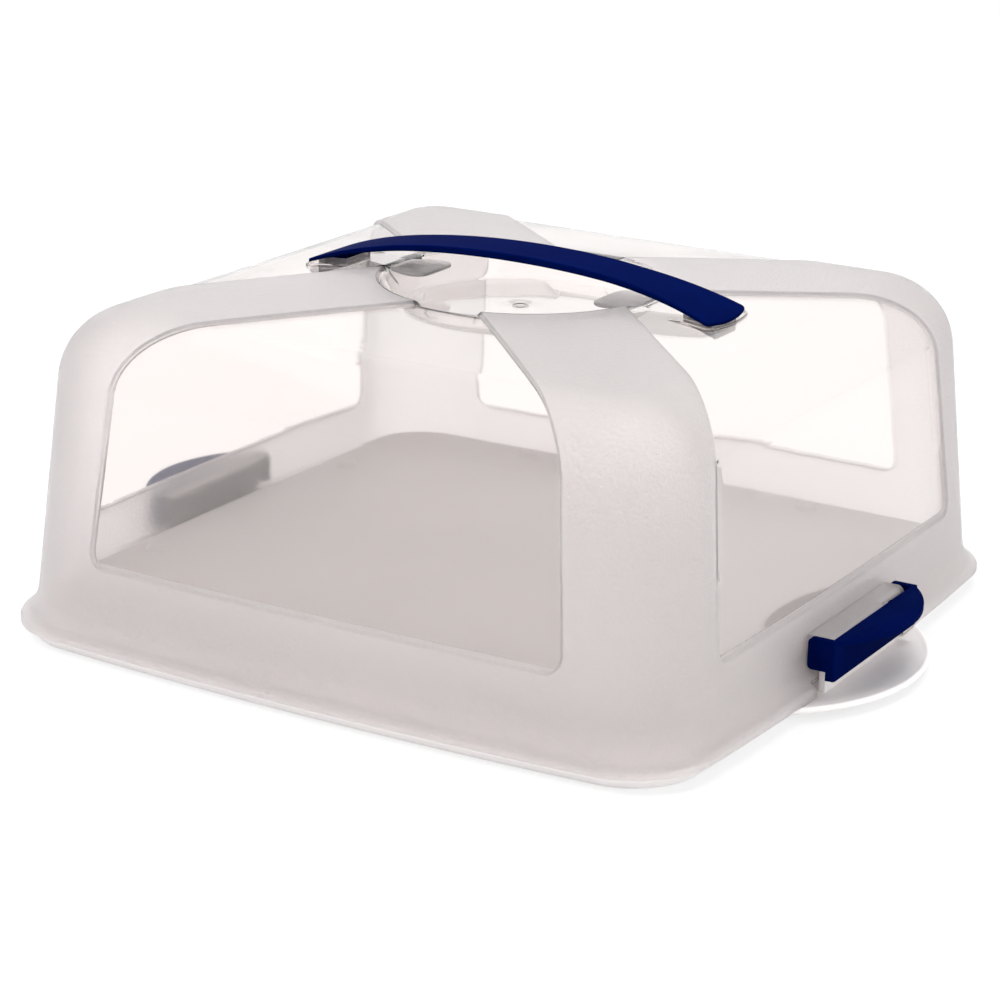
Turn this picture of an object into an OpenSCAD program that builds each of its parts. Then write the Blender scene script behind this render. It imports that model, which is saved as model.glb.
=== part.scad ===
// Square cake carrier: a raised tray, a clear hood with frosted corner bands that lifts
// off it, a bowed carry handle snapped into the hood's top, and two clips that swing on
// the hood's ledges and catch under the tray's hooks.
// Origin: on the table, at the middle of the tray's foot. +Z is up, the handle runs along X.

/* [Tray] */
// Half width of the tray's foot
foot_half = 163; // [161:0.5:164]
// Height of the platform that the cake stands on
platform_z = 20; // [17:0.5:21]
// Half width of the platform's top
platform_half = 153; // [145:0.5:154]
// Top of the rim plate that carries the hood
rim_z = 6.4; // [5.8:0.1:6.5]
// Wall of the tray moulding
tray_wall = 2.2; // [1.8:0.1:2.4]
// How far the two grip lugs reach from the middle
lug_reach = 194; // [188:0.5:200]
// Half width of a grip lug where it leaves the rim
lug_half = 61; // [50:1:70]

/* [Hood] */
// Half width of the hood's wall at the foot of its windows
wall_half = 158.2; // [156:0.2:159]
// Highest point of the hood, at the rim of the finger recess
hood_top = 149.5; // [140:0.5:160]
// Wall thickness of the hood moulding
hood_wall = 1.8; // [1.5:0.1:2.2]
// Half width of the hood's bottom flange
flange_half = 175; // [173:0.5:176]
// Radius of the shoulder between wall and top
shoulder_r = 33; // [26:1:38]
// Distance from a corner to the windows beside it
band_offset = 43.5; // [38:0.5:48]
// Height of the windows' bottom edge
window_foot = 39.5; // [36:0.5:44]
// How far the windows lie below the frosted bands
window_drop = 1.7; // [1:0.1:2]
// Radius of the finger recess under the handle
recess_r = 60; // [54:1:64]
// Height of the recess floor
recess_floor = 137; // [135:0.5:139]

/* [Handle] */
// Half length of the handle
handle_half = 113; // [110:0.5:116]
// Width of the handle
handle_w = 28.4; // [26:0.2:30]
// Height of the handle's crown
handle_top = 163.2; // [163:0.2:164]
// Radius of the handle's arch
handle_arch_r = 366; // [362:1:375]
// Thickness of the handle at its crown
handle_thick = 3.2; // [2.8:0.1:3.6]

/* [Clips] */
// Half width of a clip
clip_half = 46; // [44:0.5:47]
// How far a clip's finger shelf reaches from the middle
clip_reach = 190.5; // [186:0.5:192]
// Height of the clip's lower edge
clip_foot = 14.2; // [14:0.1:14.4]
// Diameter of the hinge pins
pin_d = 3.6; // [3:0.1:3.8]
// Radial play of the clips on their pins
pin_play = 0.06; // [0.03:0.01:0.1]

/* [Hidden] */
$fn = 96;
deg = 180 / PI;

// Corner radii of the rounded square outlines, and how far the sides bow outwards
foot_r = 30;
wall_r = 30;
shoulder_start_r = 33;
side_bow = 2.8;

// Points of one eighth of an outline: the window, its sloped edge, then the corner band
WINDOW_STEPS = 3;
BAND_STEPS = 4;
EIGHTH = WINDOW_STEPS + 1 + BAND_STEPS;
RING = 8 * EIGHTH;
edge_step = 1.6;
window_corner_r = 9;

// The hood's side profile: wall, shoulder and top are two straight lines and an arc
wall_taper = 5.32;
top_slope = 4.86;
cove_r = 12.2;
cove_top = 21;
flange_low = 6.7;
flange_high = 9.5;

function wall_x(z) = wall_half - (z - window_foot) * tan(wall_taper);
function top_z(x) = hood_top - (x - recess_r) * tan(top_slope);

corner_x = (wall_half + (window_foot - hood_top - recess_r * tan(top_slope)) * tan(wall_taper))
    / (1 - tan(wall_taper) * tan(top_slope));
corner_z = top_z(corner_x);
turn = 90 - wall_taper - top_slope;
arm = shoulder_r * tan(turn / 2);
shoulder_cx = corner_x + arm * sin(wall_taper) - shoulder_r * cos(wall_taper);
shoulder_cz = corner_z - arm * cos(wall_taper) - shoulder_r * sin(wall_taper);
shoulder_x = wall_x(corner_z - arm * cos(wall_taper));
crown_x = corner_x - arm * cos(top_slope);

// The recess under the handle: rounded rim, steep side, rounded foot
rim_r = 3;
side_lean = 150;
dish_r = 8;
rim_cx = recess_r + rim_r;
rim_cz = top_z(rim_cx) - rim_r;
side_top = [rim_cx + rim_r * cos(side_lean), rim_cz + rim_r * sin(side_lean)];
side_foot_z = recess_floor + dish_r - dish_r * sin(side_lean);
side_foot_x = side_top[0] - (side_top[1] - side_foot_z) * tan(90 - (side_lean - 90));
dish_cx = side_foot_x + dish_r * cos(side_lean);
dish_cz = recess_floor + dish_r;

// Clip hinge, measured for the clip on the +X side
pin_x = 168;
pin_z = 27.4;
clip_front = 174;
clip_wall = 2.4;
cheek_w = 4.6;
cheek_x = 164.6;
cheek_z = 18.5;
clip_top = 30.6;
shelf_t = 2.2;
ledge_top = 31;
ledge_x = 173.7;
ledge_back_x = 170.7;
ledge_half = 41;
ledge_short = 37;
ledge_break = 14;
notch_half = 49;
notch_x = 165.4;
hook_in = 171.9;
hook_top = 15.2;
catch_half = 37;
catch_nose = 172.9;
catch_low = 15.7;
catch_top = 17.6;

// One eighth of a rounded square with half width d and corner radius r, from the middle of
// a side (length 0) to the diagonal
function eighth_end(d, r) = d - r + r * PI / 4;
function eighth_point(d, r, l) = l <= d - r ? [d, l]
    : [d - r + r * cos((l - d + r) / r * deg), d - r + r * sin((l - d + r) / r * deg)];
function window_edge(d, r) = r <= band_offset ? d - band_offset
    : d - r + r * (acos(band_offset / (r * sqrt(2))) - 45) / deg;
function bowed(p, d, r, bow) = [p[0] + bow * max(0, 1 - pow(p[1] / (d - 0.3 * r), 2)), p[1]];

// Length along the eighth of its point number s, when the window's edge lies at length e
function station(s, e, end) = s <= WINDOW_STEPS ? (e - edge_step) * s / WINDOW_STEPS
    : e + (end - e) * (s - WINDOW_STEPS - 1) / BAND_STEPS;

// A profile point is [d, z, r, nx, nz, bow, drop, inset]: half width, height, corner radius,
// outward normal, bow of the sides, depth of the windows there and inset of their edges
function ring_eighth(q, s) =
    let(low = s <= WINDOW_STEPS ? q[6] : 0)
    let(e = window_edge(q[0], q[2]) - q[7])
    let(l = station(s, e, eighth_end(q[0], q[2])))
    let(d = q[0] - low * q[3])
    let(r = max(q[2] - low * q[3], 0.5))
    let(p = bowed(eighth_point(d, r, min(l, eighth_end(d, r))), d, r, q[5]))
    [p[0], p[1], q[1] - low * q[4]];

function turned(p, k) = k == 0 ? p : turned([-p[1], p[0], p[2]], k - 1);

function ring(q) = [
    for (k = [0:3])
        for (j = [0:2 * EIGHTH - 1])
            let(s = j <= EIGHTH ? j : 2 * EIGHTH - j)
            let(p = ring_eighth(q, s))
            turned(j <= EIGHTH ? p : [p[1], p[0], p[2]], k)
];

// The same profile point on the inner skin, one wall thickness in
function inside(q, t) =
    [q[0] - t * q[3], q[1] - t * q[4], max(q[2] - t * q[3], 1), q[3], q[4], q[5], q[6], q[7]];

function mix(a, b, t) = a + (b - a) * t;
function corner_r(z) = mix(wall_r, shoulder_start_r, (z - cove_top) / (shoulder_cz - cove_top));
function bow_at(z) = side_bow * min(1, max(0, (hood_top - z) / (hood_top - window_foot)));

cove_x = wall_x(cove_top);
cove_cx = cove_x + cove_r * cos(wall_taper);
cove_cz = cove_top + cove_r * sin(wall_taper);

COVE = [
    for (a = [270, 244, 220, 200, 180 + wall_taper])
        let(x = cove_cx + cove_r * cos(a))
        [x, cove_cz + cove_r * sin(a), wall_r + x - cove_x, -cos(a), -sin(a), side_bow, 0, 0]
];

// The wall, with the foot of the windows rounded at both ends
function wall_point(z, drop, inset) =
    [wall_x(z), z, corner_r(z), cos(wall_taper), sin(wall_taper), bow_at(z), drop, inset];
function foot_inset(h) = window_corner_r - sqrt(pow(window_corner_r, 2) - pow(window_corner_r - h, 2));

WALL = [
    wall_point(window_foot, 0, window_corner_r),
    wall_point(window_foot + 1.2, window_drop, foot_inset(0.5)),
    wall_point(window_foot + 3.5, window_drop, foot_inset(3)),
    wall_point(window_foot + window_corner_r, window_drop, 0),
    wall_point(75, window_drop, 0),
    wall_point(corner_z - arm * cos(wall_taper), window_drop, 0)
];

SHOULDER = [
    for (i = [1:6])
        let(a = mix(wall_taper, 90 - top_slope, i / 6))
        let(x = shoulder_cx + shoulder_r * cos(a))
        [x, shoulder_cz + shoulder_r * sin(a), shoulder_start_r - 0.85 * (shoulder_x - x),
            cos(a), sin(a), bow_at(shoulder_cz + shoulder_r * sin(a)), window_drop, 0]
];
crown_r = shoulder_start_r - 0.85 * (shoulder_x - crown_x);

TOP = [
    for (t = [0.35, 0.7, 1])
        let(x = mix(crown_x, rim_cx, t))
        [x, top_z(x), mix(crown_r, rim_cx, t), sin(top_slope), cos(top_slope), 0, window_drop, 0]
];

RECESS = concat(
    [
        for (a = [110, 130, side_lean])
            let(x = rim_cx + rim_r * cos(a))
            [x, rim_cz + rim_r * sin(a), x, cos(a), sin(a), 0, window_drop, 0]
    ],
    [
        for (a = [side_lean, 130, 110, 90])
            let(x = dish_cx - dish_r * cos(a))
            [x, dish_cz - dish_r * sin(a), x, cos(a), sin(a), 0, 0, 0]
    ]
);

OUTER = concat(COVE, WALL, SHOULDER, TOP, RECESS);
flange_r = wall_r + flange_half - cove_x;
function flange_ring(x, z) = ring([x, z, flange_r + x - flange_half, 1, 0, side_bow, 0, 0]);

function reversed(list) = [for (i = [len(list) - 1:-1:0]) list[i]];

// Rings of points make a closed skin. The first and the last ring are flat and are capped.
module skin(rings) {
    points = [for (r = rings) each r];
    rows = len(rings);
    faces = concat(
        [[for (i = [RING - 1:-1:0]) i]],
        [
            for (k = [0:rows - 2])
                for (i = [0:RING - 1])
                    let(a = k * RING + i)
                    let(b = k * RING + (i + 1) % RING)
                    each [[a, b, a + RING], [b, b + RING, a + RING]]
        ],
        [[for (i = [0:RING - 1]) (rows - 1) * RING + i]]
    );
    polyhedron(points, faces);
}

module hood_shell() {
    inner = [for (q = OUTER) inside(q, hood_wall)];
    skin(
        concat(
            [for (q = reversed(OUTER)) ring(q)],
            [
                flange_ring(flange_half - 0.8, flange_high),
                flange_ring(flange_half, flange_high - 0.8),
                flange_ring(flange_half, flange_low),
                flange_ring(flange_half - 6, flange_low)
            ],
            [for (i = [1:len(inner) - 1]) ring(inner[i])]
        )
    );
}

// Ledge on the hood's side: top plate with ribs under it, and a pin stub at each end.
// One end is set back so that the clip can be pushed onto its pin.
module clip_ledge() {
    plate = 2.2;
    rib = 3;
    root_x = 160.8;
    low_z = 24.4;
    nose_r = 3;
    module bar(y0, y1, x1) {
        translate([0, y1, 0])
            rotate([90, 0, 0])
                linear_extrude(y1 - y0)
                    difference() {
                        union() {
                            translate([root_x, ledge_top - plate])
                                square([x1 - root_x - nose_r, plate]);
                            translate([x1 - nose_r, ledge_top - nose_r])
                                circle(nose_r);
                        }
                        translate([root_x, ledge_top - 2 * nose_r - 1])
                            square([x1 - root_x, 2 * nose_r + 1 - plate]);
                    }
    }
    module web(y0, x1) {
        translate([0, y0 + rib, 0])
            rotate([90, 0, 0])
                linear_extrude(rib)
                    union() {
                        translate([root_x, low_z])
                            square([x1 - root_x, ledge_top - nose_r - low_z]);
                        translate([root_x, ledge_top - nose_r - 1])
                            square([x1 - root_x - nose_r, nose_r + 1]);
                        translate([x1 - nose_r, ledge_top - nose_r])
                            circle(nose_r);
                    }
    }
    bar(-ledge_half, ledge_break, ledge_x);
    bar(ledge_break, ledge_short, ledge_back_x);
    web(-ledge_half, ledge_x);
    web(-ledge_half / 3, ledge_x);
    web(ledge_break - rib, ledge_x);
    web(ledge_short - rib, ledge_back_x);
    translate([pin_x, -ledge_half + 0.5, pin_z])
        rotate([90, 0, 0])
            cylinder(d = pin_d, h = 3.7);
    translate([pin_x, ledge_short - 0.5, pin_z])
        rotate([-90, 0, 0])
            cylinder(d = pin_d, h = 7.7);
}

// Plan of the handle: straight sides and a round nose at each end
module handle_plan(grow) {
    nose_r = 25;
    intersection() {
        square([2 * (handle_half + grow), handle_w + 2 * grow], center = true);
        translate([-handle_half + nose_r, 0])
            union() {
                circle(nose_r + grow);
                translate([0, -nose_r])
                    square([2 * handle_half - 2 * nose_r, 2 * nose_r]);
                translate([2 * handle_half - 2 * nose_r, 0])
                    circle(nose_r + grow);
            }
    }
}

handle_tip_low = 143.8;
foot_x0 = 90;
foot_x1 = 102;
foot_half_y = 10;

module hood() {
    slot = 0.4;
    color([0.86, 0.83, 0.83, 0.6])
        difference() {
            union() {
                hood_shell();
                for (side = [0, 180])
                    rotate([0, 0, side])
                        clip_ledge();
            }
            for (end = [0, 180])
                rotate([0, 0, end]) {
                    translate([foot_x0 - slot, -foot_half_y - slot, 130])
                        cube([foot_x1 - foot_x0 + 2 * slot, 2 * (foot_half_y + slot), 30]);
                    translate([notch_x, -notch_half, 0])
                        cube([30, 2 * notch_half, cove_top]);
                }
        }
}

module rounded_plan(half, r) {
    polygon([
        for (k = [0:3])
            for (a = [0:7.5:90])
                [
                    cos(90 * k) * (half - r) - sin(90 * k) * (half - r) + r * cos(90 * k + a),
                    sin(90 * k) * (half - r) + cos(90 * k) * (half - r) + r * sin(90 * k + a)
                ]
    ]);
}

// Rings of the tray, outside first: foot, skirt, rim, platform wall and platform
function tray_ring(x, z, r) = ring([x, z, r, 1, 0, side_bow * 0.8, 0, 0]);

module tray_shell() {
    rim_half = 170;
    rim_r = foot_r + rim_half - foot_half;
    well_half = platform_half + 4;
    low = tray_wall;
    skin(
        [
            tray_ring(platform_half - 3, platform_z, 24),
            tray_ring(platform_half - 0.9, platform_z - 0.9, 26),
            tray_ring(platform_half, platform_z - 3, 27),
            tray_ring(well_half, rim_z, 31),
            tray_ring(rim_half, rim_z, rim_r),
            tray_ring(foot_half + 1.6, 0.8, foot_r + 1),
            tray_ring(foot_half, 0, foot_r),
            tray_ring(foot_half - 1.6, 0, foot_r - 1.6),
            tray_ring(rim_half - 3.4, rim_z - low, rim_r - 3.4),
            tray_ring(well_half - low, rim_z - low, 31 - low),
            tray_ring(platform_half - low, platform_z - low - 2, 27 - low),
            tray_ring(platform_half - low - 2, platform_z - low, 24)
        ]
    );
}

// Round lug plate beside the rim, with a bead along its edge
module grip_lug() {
    root = 167;
    plate_low = 3.2;
    plate_top = 5.4;
    bead = 1.6;
    sag = lug_reach - root;
    lug_r = (lug_half * lug_half + sag * sag) / (2 * sag);
    difference() {
        translate([lug_reach - lug_r, 0, plate_low])
            cylinder(r = lug_r, h = plate_top + 0.6 - plate_low);
        translate([lug_reach - lug_r, 0, plate_top])
            cylinder(r = lug_r - bead, h = 5);
        translate([root - 400, -200, 0])
            cube([400, 400, 20]);
    }
}

// Upright strip that the clip's hook catches under
module clip_catch() {
    back = 166.6;
    front = 169.6;
    translate([0, catch_half, 0])
        rotate([90, 0, 0])
            linear_extrude(2 * catch_half)
                polygon([
                    [back, rim_z - 1],
                    [front, rim_z - 1],
                    [front, catch_low],
                    [catch_nose, catch_low],
                    [catch_nose, catch_low + 0.6],
                    [front + 0.6, catch_top],
                    [back, catch_top]
                ]);
}

module base_tray() {
    stud_r = 5.5;
    stud_along = 75.5;
    stud_out = 141;
    color("whitesmoke")
        union() {
            tray_shell();
            for (side = [0, 180])
                rotate([0, 0, side]) {
                    grip_lug();
                    clip_catch();
                }
            for (k = [0:3])
                rotate([0, 0, 90 * k])
                    for (s = [-1, 1])
                        translate([stud_out, s * stud_along, platform_z - 1])
                            cylinder(r1 = stud_r, r2 = stud_r - 1.5, h = 3.5);
        }
}

module carry_handle() {
    low_sag = handle_top - handle_thick - handle_tip_low;
    low_r = (handle_half * handle_half + low_sag * low_sag) / (2 * low_sag);
    prong = 2.2;
    barb = 0.9;
    barb_z = 138;
    foot_top = 147.5;
    color("midnightblue")
        union() {
            intersection() {
                rotate([90, 0, 0])
                    linear_extrude(handle_w + 4, center = true)
                        difference() {
                            translate([0, handle_top - handle_arch_r])
                                circle(handle_arch_r, $fn = 360);
                            translate([0, handle_top - handle_thick - low_r])
                                circle(low_r, $fn = 360);
                        }
                translate([0, 0, 130])
                    linear_extrude(60)
                        handle_plan(0);
            }
            for (end = [0, 180])
                rotate([0, 0, end])
                    for (s = [-1, 1])
                        mirror([0, s < 0 ? 1 : 0, 0])
                            translate([foot_x0, 0, 0])
                                rotate([90, 0, 90])
                                    linear_extrude(foot_x1 - foot_x0)
                                        polygon([
                                            [foot_half_y - prong, barb_z],
                                            [foot_half_y, barb_z],
                                            [foot_half_y + barb + 0.2, barb_z + 2.4],
                                            [foot_half_y + barb + 0.2, barb_z + 3],
                                            [foot_half_y, barb_z + 3],
                                            [foot_half_y, foot_top + 2],
                                            [foot_half_y - prong, foot_top + 2]
                                        ]);
        }
}

// The clip on the +X side, closed: front wall with its hook, finger shelf and two cheeks
module clip() {
    sag = clip_reach - clip_front;
    chord = clip_half - 4;
    shelf_r = (chord * chord + sag * sag) / (2 * sag);
    boss_r = 3.4;
    end_r = 2;
    module cheek_plan() {
        hull() {
            translate([cheek_x + end_r, cheek_z + end_r])
                circle(end_r, $fn = 32);
            translate([cheek_x + end_r, clip_top - end_r])
                circle(end_r, $fn = 32);
            translate([clip_front, cheek_z])
                square([clip_wall, clip_top - cheek_z]);
        }
    }
    difference() {
        union() {
            translate([clip_front, -clip_half, clip_foot])
                cube([clip_wall, 2 * clip_half, clip_top - clip_foot]);
            translate([hook_in, -catch_half - 2, clip_foot])
                cube([clip_front - hook_in + 1, 2 * catch_half + 4, hook_top - clip_foot]);
            intersection() {
                translate([clip_reach - shelf_r, 0, clip_top - shelf_t])
                    cylinder(r = shelf_r, h = shelf_t, $fn = 180);
                translate([clip_front, -clip_half, clip_top - shelf_t])
                    cube([40, 2 * clip_half, shelf_t]);
            }
            for (y = [-clip_half, clip_half - cheek_w])
                translate([0, y + cheek_w, 0])
                    rotate([90, 0, 0])
                        linear_extrude(cheek_w)
                            cheek_plan();
            translate([pin_x, ledge_short + 0.4, pin_z])
                rotate([-90, 0, 0])
                    cylinder(r = boss_r, h = clip_half - ledge_short - 1);
        }
        translate([pin_x, -clip_half - 1, pin_z])
            rotate([-90, 0, 0])
                cylinder(d = pin_d + 2 * pin_play, h = 2 * clip_half + 2);
    }
}

module right_clip() {
    color("midnightblue")
        clip();
}

module left_clip() {
    color("midnightblue")
        rotate([0, 0, 180])
            clip();
}

base_tray();
hood();
carry_handle();
right_clip();
left_clip();
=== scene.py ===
import bmesh
import bpy
import math
import numpy as np
from mathutils import Matrix, Vector


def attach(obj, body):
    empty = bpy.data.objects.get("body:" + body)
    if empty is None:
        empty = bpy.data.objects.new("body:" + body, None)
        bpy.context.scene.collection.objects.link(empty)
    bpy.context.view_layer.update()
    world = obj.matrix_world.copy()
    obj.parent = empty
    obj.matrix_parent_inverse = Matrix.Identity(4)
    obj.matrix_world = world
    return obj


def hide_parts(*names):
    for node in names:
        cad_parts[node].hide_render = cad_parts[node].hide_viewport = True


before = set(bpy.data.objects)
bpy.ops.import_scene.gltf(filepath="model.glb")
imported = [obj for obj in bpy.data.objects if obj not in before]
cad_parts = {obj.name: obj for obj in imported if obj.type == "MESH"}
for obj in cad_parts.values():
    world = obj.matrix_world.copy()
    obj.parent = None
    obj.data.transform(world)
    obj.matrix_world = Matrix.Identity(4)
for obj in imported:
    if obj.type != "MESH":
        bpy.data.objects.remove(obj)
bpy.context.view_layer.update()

# Studio: a plain pale floor under three soft lamps, inside a white surround that the clear
# plastic shows. The camera stands where the photograph was taken.
MM = 0.001
WHITE = (1.0, 1.0, 1.0, 1.0)
SKY, SKY_STRENGTH = (0.97, 0.98, 1.0, 1.0), 0.8
FLOOR_SIZE, FLOOR_DROP = 12.0, 0.0004
FLOOR_TONE, FLOOR_GLOW = (0.88, 0.88, 0.88, 1.0), 0.72
AIM_HEIGHT = 0.07
CAMERA_PLACE = (0.62545, -1.07133, 0.45072)
CAMERA_AZIMUTH, CAMERA_ELEVATION, CAMERA_ROLL = 30.607, 17.992, 1.1435
CAMERA_LENS, CAMERA_SENSOR = 105.77, 36.0


def new_material(name):
    """A material with an empty node tree and its output."""
    material = bpy.data.materials.new(name)
    material.use_nodes = True
    material.node_tree.nodes.clear()
    return material, material.node_tree.nodes, material.node_tree.links


def add_node(nodes, kind, **values):
    """A node, with its properties and its unlinked inputs set by name."""
    node = nodes.new(kind)
    for key, value in values.items():
        name = key.replace("_", " ")
        if name in node.inputs:
            node.inputs[name].default_value = value
        else:
            setattr(node, key, value)
    return node


def seen_rays(nodes, links):
    """1 for camera, glossy and transmission rays, which all show the white surround."""
    path = add_node(nodes, "ShaderNodeLightPath")
    first = add_node(nodes, "ShaderNodeMath", operation="MAXIMUM")
    both = add_node(nodes, "ShaderNodeMath", operation="MAXIMUM")
    links.new(path.outputs["Is Camera Ray"], first.inputs[0])
    links.new(path.outputs["Is Glossy Ray"], first.inputs[1])
    links.new(first.outputs[0], both.inputs[0])
    links.new(path.outputs["Is Transmission Ray"], both.inputs[1])
    return both.outputs[0]


def build_surround():
    """White where it is seen, and a plain pale light where it lights the object."""
    world = bpy.data.worlds.new("studio")
    world.use_nodes = True
    bpy.context.scene.world = world
    nodes, links = world.node_tree.nodes, world.node_tree.links
    nodes.clear()
    seen = add_node(nodes, "ShaderNodeBackground", Color=WHITE, Strength=1.0)
    light = add_node(nodes, "ShaderNodeBackground", Color=SKY, Strength=SKY_STRENGTH)
    mix = add_node(nodes, "ShaderNodeMixShader")
    output = add_node(nodes, "ShaderNodeOutputWorld")
    links.new(seen_rays(nodes, links), mix.inputs[0])
    links.new(light.outputs[0], mix.inputs[1])
    links.new(seen.outputs[0], mix.inputs[2])
    links.new(mix.outputs[0], output.inputs["Surface"])


def build_floor():
    """A pale matt floor that keeps a light shadow and reads as white around the object."""
    bpy.ops.mesh.primitive_plane_add(size=FLOOR_SIZE, location=(0, 0, -FLOOR_DROP))
    floor = bpy.context.object
    floor.name = "floor"
    material, nodes, links = new_material("studio_floor")
    matt = add_node(nodes, "ShaderNodeBsdfDiffuse", Color=FLOOR_TONE)
    glow = add_node(nodes, "ShaderNodeEmission", Color=WHITE, Strength=1.0)
    share = add_node(nodes, "ShaderNodeMath", operation="MULTIPLY")
    share.inputs[1].default_value = FLOOR_GLOW
    mix = add_node(nodes, "ShaderNodeMixShader")
    output = add_node(nodes, "ShaderNodeOutputMaterial")
    links.new(seen_rays(nodes, links), share.inputs[0])
    links.new(share.outputs[0], mix.inputs[0])
    links.new(matt.outputs[0], mix.inputs[1])
    links.new(glow.outputs[0], mix.inputs[2])
    links.new(mix.outputs[0], output.inputs["Surface"])
    floor.data.materials.append(material)


def soft_lamp(name, place, size, power):
    """A square area lamp that points at the middle of the carrier."""
    data = bpy.data.lights.new(name, "AREA")
    data.shape = "SQUARE"
    data.size = size
    data.energy = power
    lamp = bpy.data.objects.new(name, data)
    lamp.location = place
    aim = Vector((0, 0, AIM_HEIGHT)) - Vector(place)
    lamp.rotation_mode = "QUATERNION"
    lamp.rotation_quaternion = aim.to_track_quat("-Z", "Y")
    lamp.visible_glossy = False
    lamp.visible_transmission = False
    bpy.context.scene.collection.objects.link(lamp)


def build_camera():
    """The camera fitted to the photograph: where it stands, how it is turned and its lens."""
    angles = CAMERA_AZIMUTH, CAMERA_ELEVATION, CAMERA_ROLL
    azimuth, elevation, roll = (math.radians(a) for a in angles)
    back = Vector((math.sin(azimuth) * math.cos(elevation),
                   -math.cos(azimuth) * math.cos(elevation), math.sin(elevation)))
    side = Vector((0, 0, 1)).cross(back).normalized()
    up = back.cross(side)
    right = math.cos(roll) * side + math.sin(roll) * up
    top = math.cos(roll) * up - math.sin(roll) * side
    data = bpy.data.cameras.new("camera")
    data.lens = CAMERA_LENS
    data.sensor_width = CAMERA_SENSOR
    data.clip_end = 50.0
    camera = bpy.data.objects.new("camera", data)
    turn = Matrix((right, top, back)).transposed().to_4x4()
    camera.matrix_world = Matrix.Translation(CAMERA_PLACE) @ turn
    bpy.context.scene.collection.objects.link(camera)
    bpy.context.scene.camera = camera


bpy.context.scene.view_settings.view_transform = "Standard"
build_surround()
build_floor()
soft_lamp("key", (-0.9, -1.3, 1.9), 1.2, 40.0)
soft_lamp("fill", (1.9, -0.6, 1.0), 1.2, 12.0)
soft_lamp("overhead", (0.1, 0.7, 2.0), 1.4, 26.0)
build_camera()

# Tray: one white polypropylene moulding, open from below. A raised platform fits inside the
# hood, a rim plate around it carries the hood, and a skirt below the rim is its foot.
# Each row of an outline gives a half width, a height, a corner radius and a side's bow.
FOOT_HALF, FOOT_R = 157.3, 26.0
RIM_HALF, RIM_Z, RIM_BOW = 159.8, 5.8, 6.2
PLATFORM_HALF, PLATFORM_Z, PLATFORM_BOW = 153.0, 20.0, 2.2
PLATFORM_ROUND, FLAT_R, UNDER_R = 3.0, 24.0, 27.0
WELL_RUN, WELL_R, WELL_BOW, WELL_FILLET = 2.5, 29.0, 3.0, 1.2
RIM_ROUND, RIM_R_MORE, RIM_UNDER_R = 0.7, 2.3, 28.5
SKIRT_TOP, SKIRT_FLARE, SKIRT_INSET, UNDER_Z = 3.2, 1.3, 1.6, 3.6
TRAY_WALL = 2.2
BOW_END = 0.3
HALF_TURN = Matrix.Rotation(math.pi, 4, "Z")


def eighth_points(half, corner, bow, lengths):
    """Points of a rounded square at these lengths from a side's middle to the diagonal."""
    straight = half - corner
    angle = np.clip((lengths - straight) / corner, 0.0, math.pi / 2)
    on_side = lengths <= straight
    x = np.where(on_side, half, straight + corner * np.cos(angle))
    y = np.where(on_side, lengths, straight + corner * np.sin(angle))
    out = np.clip(1 - (y / (half - BOW_END * corner)) ** 2, 0.0, None)
    return x + bow * out, y


def full_ring(x, y, z):
    """The closed ring that one eighth makes by mirroring and quarter turns."""
    first = np.stack([x, y, z], 1)
    second = np.stack([y, x, z], 1)[::-1]
    quarter = np.concatenate([first[:-1], second[:-1]])
    turns = []
    for k in range(4):
        c, s = (1, 0, -1, 0)[k], (0, 1, 0, -1)[k]
        turns.append(np.stack([c * quarter[:, 0] - s * quarter[:, 1],
                               s * quarter[:, 0] + c * quarter[:, 1], quarter[:, 2]], 1))
    return np.concatenate(turns)


def skin_mesh(name, rings, slots=None):
    """A closed mesh through rings of points in mm, capped at both ends."""
    rings = np.asarray(rings)
    rows, columns = rings.shape[:2]
    points = [tuple(p) for p in rings.reshape(-1, 3) * MM]
    faces, marks = [], []
    for k in range(rows - 1):
        for i in range(columns):
            j = (i + 1) % columns
            low, high = k * columns, (k + 1) * columns
            faces.append((low + i, low + j, high + j, high + i))
            marks.append(slots(k, i) if slots else 0)
    for row, order in ((0, -1), (rows - 1, 1)):
        pole = len(points)
        points.append(tuple(rings[row].mean(0) * MM))
        for i in range(columns):
            a, b = row * columns + i, row * columns + (i + 1) % columns
            faces.append((pole, b, a) if order < 0 else (pole, a, b))
            marks.append(slots(row, i) if slots else 0)
    mesh = bpy.data.meshes.new(name)
    mesh.from_pydata(points, [], faces)
    mesh.polygons.foreach_set("material_index", marks)
    mesh.update()
    return mesh


def smooth(mesh, angle=32.0):
    """Smooth shading with sharp edges where the surface turns by more than the angle."""
    mesh.polygons.foreach_set("use_smooth", [True] * len(mesh.polygons))
    mesh.set_sharp_from_angle(angle=math.radians(angle))
    mesh.update()


def new_piece(name, mesh):
    piece = bpy.data.objects.new(name, mesh)
    bpy.context.scene.collection.objects.link(piece)
    return piece


def place_piece(piece, body, slot, *nodes):
    """The finished piece rides on its body and stands for its CAD nodes."""
    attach(piece, body)
    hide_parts(*nodes)


def outward(mesh):
    """Recalculates the normals of a closed mesh so that its faces point outwards."""
    work = bmesh.new()
    work.from_mesh(mesh)
    bmesh.ops.recalc_face_normals(work, faces=work.faces)
    work.to_mesh(mesh)
    work.free()


def arc(cx, cz, r, start, end, steps):
    """Points of an arc, in degrees, as [x, z] with both ends."""
    return [(cx + r * math.cos(math.radians(a)), cz + r * math.sin(math.radians(a)))
            for a in np.linspace(start, end, steps + 1)]


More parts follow.
